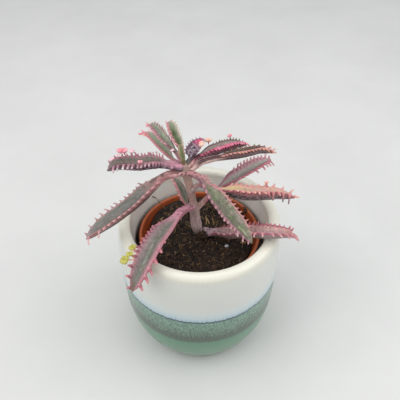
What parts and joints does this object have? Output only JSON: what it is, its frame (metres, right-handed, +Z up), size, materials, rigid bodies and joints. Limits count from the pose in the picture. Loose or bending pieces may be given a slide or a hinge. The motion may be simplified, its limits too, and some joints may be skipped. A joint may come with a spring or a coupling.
{
  "type": "potted pink butterflies kalanchoe",
  "caption": "Potted variegated kalanchoe: upright stem with arching folded leaves, pink toothed margins and plantlets, in a plastic nursery pot inside a glazed cachepot.",
  "frame": {"origin": "centre of the cachepot's flat underside, on the surface that the pot stands on", "axes": "+Z up along the cachepot's turning axis; the picture looks along +Y and down, with +X to its right, so -Y is the front"},
  "size_m": [0.1676, 0.1633, 0.2085],
  "materials": {
    "cachepot_glaze": "glossy glaze: white above a thin dark blue line, mottled jade green below it",
    "terracotta_plastic": "satin brown-orange thin moulded plastic",
    "peat": "rough, dark, crumbly and fibrous",
    "stem_skin": "waxy mauve-grey with fine lengthwise lines",
    "leaf_far_left_skin": "waxy olive grey-green with mauve-pink toothed margins and a dark purple underside",
    "leaf_upper_left_a_skin": "waxy grey-green with a salmon-pink stripe",
    "leaf_upper_left_b_skin": "waxy blue-grey with a pink-mauve margin stripe",
    "leaf_top_skin": "waxy vivid green with pink and whitish toothed margins",
    "leaf_young_skin": "waxy, half beige and half green",
    "leaf_back_right_skin": "waxy dark purple underside with a magenta tip",
    "leaf_right_magenta_skin": "waxy grey-green with dense magenta margin teeth",
    "leaf_right_orange_skin": "waxy olive-brown with orange-pink margin teeth",
    "leaf_back_grey_skin": "waxy grey-mauve with a strong pink margin",
    "leaf_front_right_skin": "waxy grey-green with pink margins and a pale midrib streak",
    "leaf_low_right_skin": "waxy mauve-pink with dark red margin dashes",
    "leaf_salmon_skin": "waxy cream and salmon with long pink teeth",
    "leaf_big_left_skin": "waxy grey-green with pale pink teeth and a dark underside band",
    "leaf_front_left_skin": "waxy mauve-grey with a green centre and pink finger teeth",
    "leaf_rising_left_skin": "waxy green centre, pink and pale grey sides",
    "plantlet_pink": "waxy, fleshy",
    "plantlet_pale": "waxy, fleshy",
    "plantlet_peach": "waxy, fleshy",
    "plantlet_green": "waxy, fleshy",
    "perlite": "matt, faintly bluish white",
    "straw": "dry, pale brown"
  },
  "bodies": {
    "root": {"cachepot": "cachepot_glaze", "nursery_pot": "terracotta_plastic", "potting_soil": "peat", "stem": "stem_skin", "leaf_far_left": "leaf_far_left_skin", "leaf_upper_left_a": "leaf_upper_left_a_skin", "leaf_upper_left_b": "leaf_upper_left_b_skin", "leaf_top": "leaf_top_skin", "leaf_young": "leaf_young_skin", "leaf_back_right": "leaf_back_right_skin", "leaf_right_magenta": "leaf_right_magenta_skin", "leaf_right_orange": "leaf_right_orange_skin", "leaf_back_grey": "leaf_back_grey_skin", "leaf_front_right": "leaf_front_right_skin", "leaf_low_right": "leaf_low_right_skin", "leaf_salmon": "leaf_salmon_skin", "leaf_big_left": "leaf_big_left_skin", "leaf_front_left": "leaf_front_left_skin", "leaf_rising_left": "leaf_rising_left_skin", "plantlet_far_left_large": "plantlet_pink", "plantlet_far_left_round": "plantlet_pale", "plantlet_far_left_small": "plantlet_pale", "plantlet_far_left_tip": "plantlet_pale", "plantlet_far_left_near": "plantlet_pink", "plantlet_upper_left_curl": "plantlet_pink", "plantlet_upper_left_peach": "plantlet_peach", "plantlet_upper_left_pink": "plantlet_pink", "plantlet_crown_pale": "plantlet_pale", "plantlet_back_peach_a": "plantlet_peach", "plantlet_back_peach_b": "plantlet_peach", "plantlet_right_pink": "plantlet_pink", "plantlet_salmon": "plantlet_peach", "plantlet_green_upper": "plantlet_green", "plantlet_green_middle": "plantlet_green", "plantlet_green_lower": "plantlet_green", "perlite_grain_front": "perlite", "perlite_grain_left": "perlite", "perlite_grain_right": "perlite", "dry_rootlet": "straw", "peat_crumb": "peat"}
  },
  "joints": []
}
